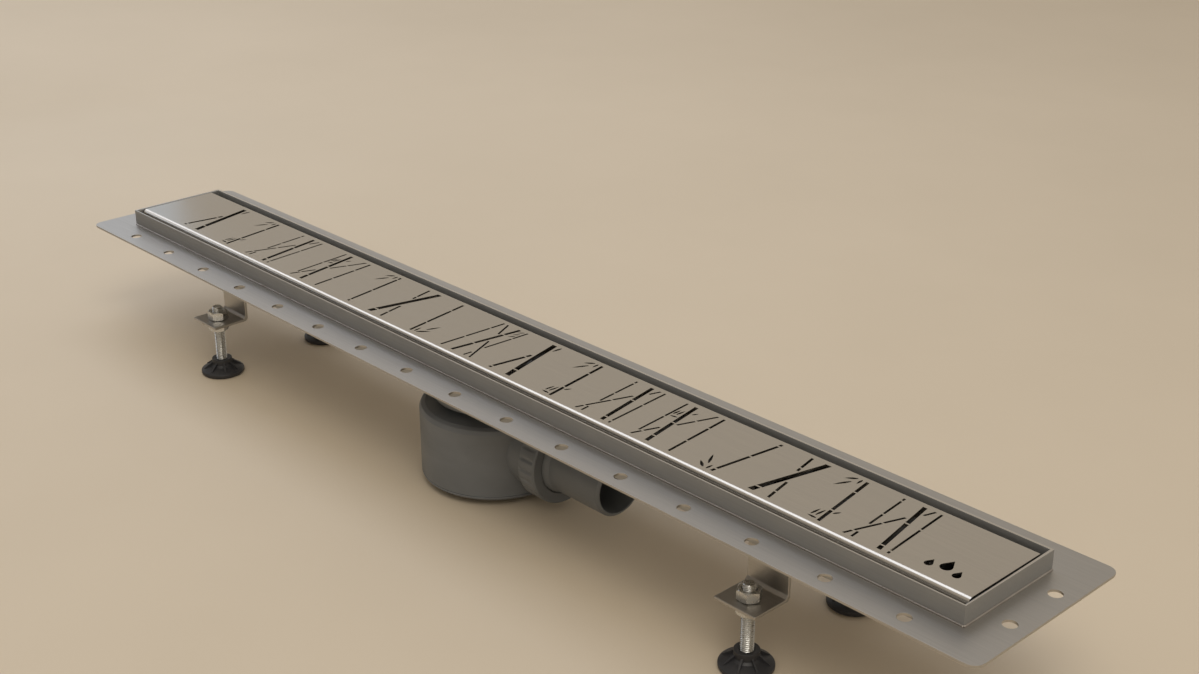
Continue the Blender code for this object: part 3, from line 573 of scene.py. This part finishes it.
def middle(node):
    """The middle of a node's box."""
    low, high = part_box(node)
    return (low + high) / 2


def reach(node):
    """Half the size of a node's box."""
    low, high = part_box(node)
    return (high - low) / 2


def hexagon(apothem, angle):
    """Radius at an angle of a hexagon that has a corner at angle 0."""
    return apothem / math.cos(angle % (math.pi / 3) - math.pi / 6)


# ---------------------------------------------------------------- grate


def make_grate():
    """The slotted panel, its ribs and their rubber pads, with their edges rounded."""
    eased("grate_panel", PANEL_EDGE)
    for number in range(1, 7):
        eased(f"grate_rib_{number}", RIB_EDGE)
        for side in ("front", "back"):
            eased(f"rib_{number}_pad_{side}", PAD_EDGE, segments=3)


# ---------------------------------------------------------------- channel


def inner_lip(mesh):
    """The edges inside the trough's rim at its front and ends."""
    inside = Vector((RIM_HIGH.x - SHEET / 2, RIM_HIGH.y - SHEET / 2, 0.0))

    def is_inside(place):
        on_top = place.z > RIM_HIGH.z - TOLERANCE
        return on_top and abs(place.x) < inside.x and abs(place.y) < inside.y

    return [
        edge for edge in mesh.edges
        if all(is_inside(vert.co) for vert in edge.verts)
        and min(vert.co.y for vert in edge.verts) < 0.0
    ]


def make_channel():
    """The trough, with its rim's top painted in a lighter steel as a highlight, rounded wider on the inside of its
    front and ends.
    """
    mesh = cad_mesh("channel_trough")
    bmesh.ops.bevel(
        mesh, geom=inner_lip(mesh), offset=INNER_LIP, segments=4, profile=0.5, affect="EDGES"
    )
    trough = stand_in("channel_trough", ease(mesh, TROUGH_EDGE, segments=3))
    trough.data.materials.append(PAINTED_RIM_HIGHLIGHT)
    trough.data.materials.append(CHANNEL_BED)
    rim_slot, bed_slot = 1, 2
    # Upward faces at the rim's top take the lighter steel as a painted highlight; upward faces below it take the
    # bed
    for face in trough.data.polygons:
        if face.normal.z > UPWARD:
            on_rim = face.center.z > RIM_HIGH.z - HIGHLIGHT_DEPTH
            face.material_index = rim_slot if on_rim else bed_slot
    make_flange()
    for side in ("left", "right"):
        eased(f"leg_bracket_{side}", BRACKET_EDGE, segments=3, angle=20.0)


def upright(outline, low, high):
    """A closed upright body over an outline."""
    mesh = bmesh.new()
    bottom, top = [[mesh.verts.new((x, y, z)) for x, y in outline] for z in (low, high)]
    mesh.faces.new(bottom[::-1])
    mesh.faces.new(top)
    bridge(mesh, bottom, top)
    return mesh


def make_flange():
    """The bonding flange around the channel, with its rows of round punched holes."""
    low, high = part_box("bonding_flange")
    square = [(high.x, low.y), (high.x, high.y), (low.x, high.y), (low.x, low.y)]
    plate = upright(rounded(square, True, FLANGE_CORNER, steps=10), low.z, high.z)
    gap = Vector((FIT, FIT, 0.0))
    inner_low, inner_high = RIM_LOW - gap, RIM_HIGH + gap
    window = [(inner_low.x, inner_low.y), (inner_high.x, inner_low.y)]
    window += [(inner_high.x, inner_high.y), (inner_low.x, inner_high.y)]
    below, above = low.z - OVERCUT, high.z + OVERCUT
    plate = drilled(plate, upright(window, below, above))
    holes = bmesh.new()
    row = RIM_HIGH.y + FLANGE_HOLE_INSET
    column = RIM_HIGH.x + FLANGE_HOLE_INSET
    for index in range(FLANGE_HOLES_A_SIDE):
        x = (index - (FLANGE_HOLES_A_SIDE - 1) / 2) * FLANGE_HOLE_PITCH
        for y in (-row, row):
            drill(holes, (x, y), FLANGE_HOLE_RADIUS, below, above, SMALL)
    for x in (-column, column):
        for y in (-FLANGE_END_HOLE, FLANGE_END_HOLE):
            drill(holes, (x, y), FLANGE_HOLE_RADIUS, below, above, SMALL)
    stand_in("bonding_flange", ease(drilled(plate, holes), FLANGE_EDGE))


def weld_bead(name, start, end):
    """A rippled bead along a level straight run, half sunk in the joint."""
    start, end = Vector(start), Vector(end)
    run = end - start
    up = Vector((0.0, 0.0, 1.0))
    across = run.normalized().cross(up)
    count = int(run.length / WELD_PITCH * WELD_RINGS_A_RIPPLE)
    mesh = bmesh.new()
    rings = []
    for index in range(count + 1):
        phase = (index / WELD_RINGS_A_RIPPLE) % 1.0
        swell = WELD_RADIUS * (WELD_LEAST + WELD_RIPPLE * math.sin(math.pi * phase))
        if index in (0, count):
            swell *= WELD_END
        centre = start + run.normalized() * run.length * index / count
        ring = []
        for step in range(WELD_FACETS):
            angle = 2 * math.pi * step / WELD_FACETS
            outward = across * math.cos(angle) + up * math.sin(angle)
            ring.append(mesh.verts.new(centre + outward * swell))
        rings.append(ring)
    for ring, following in zip(rings, rings[1:]):
        bridge(mesh, ring, following)
    mesh.faces.new(rings[0])
    mesh.faces.new(rings[-1])
    make_piece(name, mesh, WELD, "root", smooth=60.0)


def make_welds():
    """Beads that join the flange to the channel."""
    low, high = RIM_LOW, RIM_HIGH
    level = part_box("bonding_flange")[1].z
    for name, y in (("front", low.y), ("back", high.y)):
        weld_bead(f"flange_weld_{name}", (low.x, y, level), (high.x, y, level))
    for name, x in (("left", low.x), ("right", high.x)):
        weld_bead(f"flange_weld_{name}", (x, low.y, level), (x, high.y, level))


# ---------------------------------------------------------------- legs


def make_nut(node):
    """A chamfered hexagon nut with a countersunk bore."""
    half = reach(node)
    apothem = half.x * math.cos(math.pi / 6)
    crown = apothem * NUT_CROWN
    slope = math.tan(math.radians(NUT_CHAMFER))
    mouth = NUT_BORE + NUT_COUNTERSINK

    def chamfered(side):
        def place(angle):
            radius = hexagon(apothem, angle)
            return radius, side * (half.z - (radius - crown) * slope)

        return place

    outline = [
        (mouth, -half.z),
        (crown, -half.z),
        chamfered(-1),
        chamfered(1),
        (crown, half.z),
        (mouth, half.z),
        (NUT_BORE, half.z - NUT_COUNTERSINK),
        (NUT_BORE, NUT_COUNTERSINK - half.z),
    ]
    stand_in(node, lathe(outline, True, NUT_FACETS, middle(node)), smooth=25.0)


def make_rod(node):
    """A metric rod with its helical thread and chamfered ends."""
    half = reach(node)
    crest = half.x
    root = crest - THREAD_DEPTH
    low, high = -half.z, half.z
    rows = int((high - low) / THREAD_PITCH * THREAD_ROWS)

    def ring(height):
        def place(angle):
            phase = (height / THREAD_PITCH - angle / (2 * math.pi)) % 1.0
            ridge = 1.0 - abs(2.0 * phase - 1.0)
            radius = root + (crest - root) * min(1.0, THREAD_FLANK * ridge)
            to_end = min(height - low, high - height)
            return min(radius, crest - ROD_CHAMFER + to_end), height

        return place

    outline = [ring(low + (high - low) * row / rows) for row in range(rows + 1)]
    stand_in(node, lathe(outline, False, COARSE, middle(node)), smooth=40.0)


def foot_rib(mesh, origin, angle):
    """Add to a mesh one upright rib that stands out from origin at an angle."""
    out = Vector((math.cos(angle), math.sin(angle), 0.0))
    side = Vector((-out.y, out.x, 0.0)) * FOOT_RIB_HALF
    near, far = [
        [
            mesh.verts.new(origin + out * run + side * way + Vector((0.0, 0.0, rise)))
            for run, rise in FOOT_RIB_SIDE
        ]
        for way in (-1, 1)
    ]
    mesh.faces.new(near)
    mesh.faces.new(far)
    bridge(mesh, near, far)


def make_foot(node):
    """A moulded foot with radial ribs on its cone."""
    centre = middle(node)
    stand_in(node, turned_again(node, (centre.x, centre.y, 0.0), radius=0.0005, steps=MEDIUM))
    ribs = bmesh.new()
    origin = Vector((centre.x, centre.y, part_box(node)[0].z + FOOT_RIB_BASE))
    for index in range(FOOT_RIBS):
        foot_rib(ribs, origin, 2 * math.pi * (index + 0.5) / FOOT_RIBS)
    slot = node_slot(node)
    make_piece(f"{node}_ribs", ribs, MATERIALS[slot], node_body(node))


def make_legs():
    """The four levelling legs, each with its rod, foot and two nuts."""
    for number in range(1, 5):
        make_rod(f"leg_{number}_rod")
        make_foot(f"leg_{number}_foot")
        for side in ("lower", "upper"):
            make_nut(f"leg_{number}_nut_{side}")


# ---------------------------------------------------------------- trap


def screw_cutters(low, high):
    """Round cutters for the holes of the four clamp screws."""
    cutters = bmesh.new()
    for screw in SCREWS:
        centre = middle(screw)
        drill(cutters, (centre.x, centre.y), SCREW_HOLE, low, high)
    return cutters


def make_clamping():
    """The gasket and the clamp ring with their screw holes, and the screws."""
    for node, radius in (("trap_gasket", 0.0006), ("clamp_ring", 0.0003)):
        low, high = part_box(node)
        ring = turned_again(node, CENTRE, radius=radius)
        cutters = screw_cutters(low.z - OVERCUT, high.z + OVERCUT)
        stand_in(node, drilled(ring, cutters), smooth=30.0)
    for screw in SCREWS:
        make_screw(screw)


def make_screw(node):
    """A pan-head screw with a hexagon socket and a plain shank, bevelled at its tip."""
    centre = middle(node)
    low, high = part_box(node)
    head = reach(node).x
    seat = high.z - SCREW_HEAD_HEIGHT

    def socket(height):
        return lambda angle: (hexagon(KEY_APOTHEM, angle), height)

    outline = [
        (SCREW_SHANK - SCREW_TIP, low.z),
        (SCREW_SHANK, low.z + SCREW_TIP),
        (SCREW_SHANK, seat),
        (head - SCREW_HEAD_EDGE, seat),
        (head, seat + SCREW_HEAD_EDGE),
        (head, seat + SCREW_HEAD_RIM),
    ]
    for step in range(1, SCREW_HEAD_STEPS + 1):
        angle = math.radians(90 * step / SCREW_HEAD_STEPS)
        radius = SCREW_HEAD_FLAT + (head - SCREW_HEAD_FLAT) * math.cos(angle)
        outline.append((radius, seat + SCREW_HEAD_RIM + SCREW_HEAD_RIM * math.sin(angle)))
    outline += [socket(high.z - KEY_LIP), socket(high.z - KEY_DEPTH)]
    stand_in(node, lathe(outline, False, SCREW_FACETS, (centre.x, centre.y, 0.0)), smooth=40.0)


def make_trap():
    """The pot turned finely again as an open shell with its socket and screw bosses, and its base."""
    (outer, inner), _ = cad_runs("trap_body", CENTRE, "Z", 180.0)
    low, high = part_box("trap_body")
    centre = (0.0, 0.0, middle("outlet_spigot").z)
    mesh = lathe(rounded(outer, False, radius=0.0012), False, FINE)
    socket = [(SOCKET_RADIUS, SOCKET_START), (SOCKET_RADIUS, high.x)]
    mesh = drilled(mesh, lathe(socket, False, FINE, centre, "X"), "UNION")
    bosses = bmesh.new()
    for screw in SCREWS:
        place = middle(screw)
        drill(bosses, (place.x, place.y), BOSS_RADIUS, BOSS_LOW, high.z - BOSS_BELOW_TOP)
    mesh = drilled(mesh, bosses, "UNION")
    hollow = [(inner[0][0], low.z - OVERCUT)] + rounded(inner, False, radius=0.0004)
    hollow.append((inner[-1][0], high.z + OVERCUT))
    mesh = drilled(mesh, lathe(hollow, False, FINE))
    bore = [(BORE_RADIUS, BORE_START), (BORE_RADIUS, high.x + OVERCUT)]
    mesh = drilled(mesh, lathe(bore, False, FINE, centre, "X"))
    mesh = drilled(mesh, screw_cutters(SCREW_HOLE_LOW, high.z + OVERCUT))
    stand_in("trap_body", mesh, smooth=30.0)
    stand_in("trap_base", turned_again("trap_base", CENTRE, radius=0.0008))


def make_outlet():
    """The swivelling spigot with its ball, the seal on it and the union nut."""
    pivot = next(joint for joint in frame["joints"] if joint["name"] == "outlet_swivel")["pos_m"]
    stand_in("outlet_spigot", turned_again("outlet_spigot", pivot, "X", radius=0.0004))
    stand_in("outlet_seal", turned_again("outlet_seal", pivot, "X", radius=0.0005))
    make_union_nut("outlet_nut", pivot)


def make_union_nut(node, pivot):
    """The union nut with shallow grip flutes around it."""
    outline, closed = cad_profile(node, pivot, "X", 0.0)
    outline = rounded(outline, closed, radius=0.0006)
    outer = max(radius for radius, _ in outline)
    low = min(height for _, height in outline)
    high = max(height for _, height in outline)

    def fluted(radius, height):
        near_end = min(height - low, high - height) < GRIP_END
        if radius < outer - GRIP_BAND or near_end:
            return (radius, height)
        return lambda angle: (
            radius - GRIP_DEPTH * max(0.0, math.cos(GRIP_FLUTES * angle)) ** 2,
            height,
        )

    dense = []
    for point, following in zip(outline, outline[1:] + outline[:1]):
        dense.append(point)
        span = following[1] - point[1]
        outermost = min(point[0], following[0]) > outer - GRIP_WALL
        if outermost and abs(span) > GRIP_LEAST_SPAN:
            dense += [(point[0], point[1] + span * share) for share in GRIP_RINGS]
    rings = [fluted(radius, height) for radius, height in dense]
    stand_in(node, lathe(rings, closed, UNION_NUT_FACETS, pivot, "X"), smooth=50.0)


# ---------------------------------------------------------------- insert and strainer


def make_insert():
    """The lift-out water seal with its O-ring and cup, and the hair strainer on it."""
    stand_in("dip_tube", turned_again("dip_tube", CENTRE, radius=0.0004))
    stand_in("insert_seal", turned_again("insert_seal", CENTRE, radius=0.0004))
    make_cup()
    make_strainer()


def make_cup():
    """The cup with its three inner ribs."""
    mesh = turned_again("seal_cup", CENTRE, angle=CUP_SECTION, radius=0.0008)
    low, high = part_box("seal_cup")
    wall = high.x - CUP_WALL_BITE
    rib_low, rib_high = low.z + CUP_RIB_BELOW, high.z - CUP_RIB_ABOVE
    size = Matrix.Diagonal((wall - TUBE_OUTSIDE, CUP_RIB_WIDTH, rib_high - rib_low, 1.0))
    shift = Matrix.Translation(((wall + TUBE_OUTSIDE) / 2, 0.0, (rib_low + rib_high) / 2))
    ribs = bmesh.new()
    for index in range(CUP_RIBS):
        turn = Matrix.Rotation(2 * math.pi * index / CUP_RIBS, 4, "Z")
        corners = bmesh.ops.create_cube(ribs, size=1.0)["verts"]
        bmesh.ops.transform(ribs, matrix=turn @ shift @ size, verts=corners)
    stand_in("seal_cup", drilled(mesh, ribs, "UNION"), smooth=30.0)


def make_strainer():
    """The perforated basket with its knob."""
    node = "hair_strainer"
    mesh = turned_again(node, CENTRE, angle=STRAINER_SECTION, radius=0.0004)
    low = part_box(node)[0].z
    below, above = low - OVERCUT, low + 2 * OVERCUT
    cutters = bmesh.new()
    for circle, count in STRAINER_CIRCLES:
        for index in range(count):
            angle = 2 * math.pi * index / count
            centre = (circle * math.cos(angle), circle * math.sin(angle))
            drill(cutters, centre, STRAINER_HOLE, below, above, STRAINER_HOLE_FACETS)
    stand_in(node, drilled(mesh, cutters), smooth=30.0)


# ---------------------------------------------------------------- stage, light and camera


def make_stage():
    """A plain floor just under the feet."""
    mesh = bmesh.new()
    square = ((-1, -1), (1, -1), (1, 1), (-1, 1))
    mesh.faces.new([mesh.verts.new((x * FLOOR_HALF, y * FLOOR_HALF, -FLOOR_DROP)) for x, y in square])
    data = bpy.data.meshes.new("floor")
    mesh.to_mesh(data)
    mesh.free()
    data.materials.append(FLOOR)
    floor = bpy.data.objects.new("floor", data)
    bpy.context.scene.collection.objects.link(floor)


def make_light(name, place, target, size, radiance, colour):
    """A rectangular light of the given radiance that the camera doesn't see."""
    light = bpy.data.lights.new(name, "AREA")
    light.shape = "RECTANGLE"
    light.size, light.size_y = size
    light.energy = radiance * math.pi * size[0] * size[1]
    light.color = colour
    item = bpy.data.objects.new(name, light)
    bpy.context.scene.collection.objects.link(item)
    item.location = place
    item.rotation_euler = (Vector(target) - Vector(place)).to_track_quat("-Z", "Y").to_euler()
    item.visible_camera = False


def mirrored(point):
    """The level direction from the camera to a point, and the slope at which a flat top mirrors it."""
    camera = RIM_CORNER + Vector(CAMERA_PLACE) * RIM_LENGTH
    level = Vector((point.x - camera.x, point.y - camera.y, 0.0))
    return level.normalized(), (camera.z - point.z) / level.length


def make_lights():
    """Lights for the grate's reflections, and a warm key light.

    The strip draws the line along the grate's bend, the side card carries that line on to the left
    end, and the end card is what the flat panel mirrors at its left end.
    """
    top = RIM_HIGH.z
    make_light(
        "strip", place=(-1.7, 0.36, 1.6), target=(-1.7, 0.36, 0.0),
        size=(3.2, 1.05), radiance=1.5, colour=COOL,
    )
    make_light(
        "side_card", place=(-3.4, -0.80, 1.45), target=RIM_CORNER,
        size=(1.4, 1.1), radiance=0.9, colour=COOL,
    )
    make_light(
        "key", place=(1.3, -0.9, 2.3), target=(0.0, 0.0, top),
        size=(1.5, 1.5), radiance=3.2, colour=WARM,
    )
    edge = Vector((RIM_LOW.x + CARD_EDGE[0], CARD_EDGE[1], top))
    away, slope = mirrored(edge)
    left = Vector((-away.y, away.x, 0.0))
    card = edge + away * CARD_DISTANCE + left * CARD_SIZE[0] / 2
    card.z += slope * CARD_DISTANCE
    make_light("end_card", card, edge, CARD_SIZE, radiance=0.36, colour=BLUE)


def make_world():
    """A soft warm surround, with a dark flag off the front left that only the steel mirrors."""
    world = bpy.data.worlds.new("studio")
    bpy.context.scene.world = world
    world.use_nodes = True
    tree = world.node_tree
    coordinates = tree.nodes.new("ShaderNodeTexCoord")
    towards = tree.nodes.new("ShaderNodeVectorMath")
    towards.operation = "DOT_PRODUCT"
    towards.inputs[1].default_value = Vector(FLAG_TOWARDS).normalized()
    shade = tree.nodes.new("ShaderNodeValToRGB")
    for stop, position, colour in zip(
        shade.color_ramp.elements, (FLAG_STARTS, FLAG_IS_FULL), (SURROUND, FLAG)
    ):
        stop.position = position
        stop.color = colour
    tree.links.new(coordinates.outputs["Generated"], towards.inputs[0])
    tree.links.new(towards.outputs["Value"], shade.inputs["Fac"])
    seen = tree.nodes.new("ShaderNodeLightPath")
    mix = tree.nodes.new("ShaderNodeMix")
    mix.data_type = "RGBA"
    mix.inputs["B"].default_value = SURROUND
    tree.links.new(seen.outputs["Is Camera Ray"], mix.inputs["Factor"])
    tree.links.new(shade.outputs["Color"], mix.inputs["A"])
    tree.links.new(mix.outputs["Result"], tree.nodes["Background"].inputs["Color"])


def make_camera():
    """The camera as solved from the photograph's view of the rim."""
    camera = bpy.data.cameras.new("camera")
    camera.lens = CAMERA_LENS
    camera.sensor_width = CAMERA_SENSOR
    item = bpy.data.objects.new("camera", camera)
    bpy.context.scene.collection.objects.link(item)
    item.location = RIM_CORNER + Vector(CAMERA_PLACE) * RIM_LENGTH
    item.rotation_euler = (math.radians(90.0 - CAMERA_PITCH), 0.0, math.radians(CAMERA_YAW))
    bpy.context.scene.camera = item


bpy.context.scene.view_settings.view_transform = "Standard"
make_camera()
make_grate()
make_channel()
make_welds()
make_legs()
make_clamping()
make_trap()
make_outlet()
make_insert()
make_stage()
make_lights()
make_world()
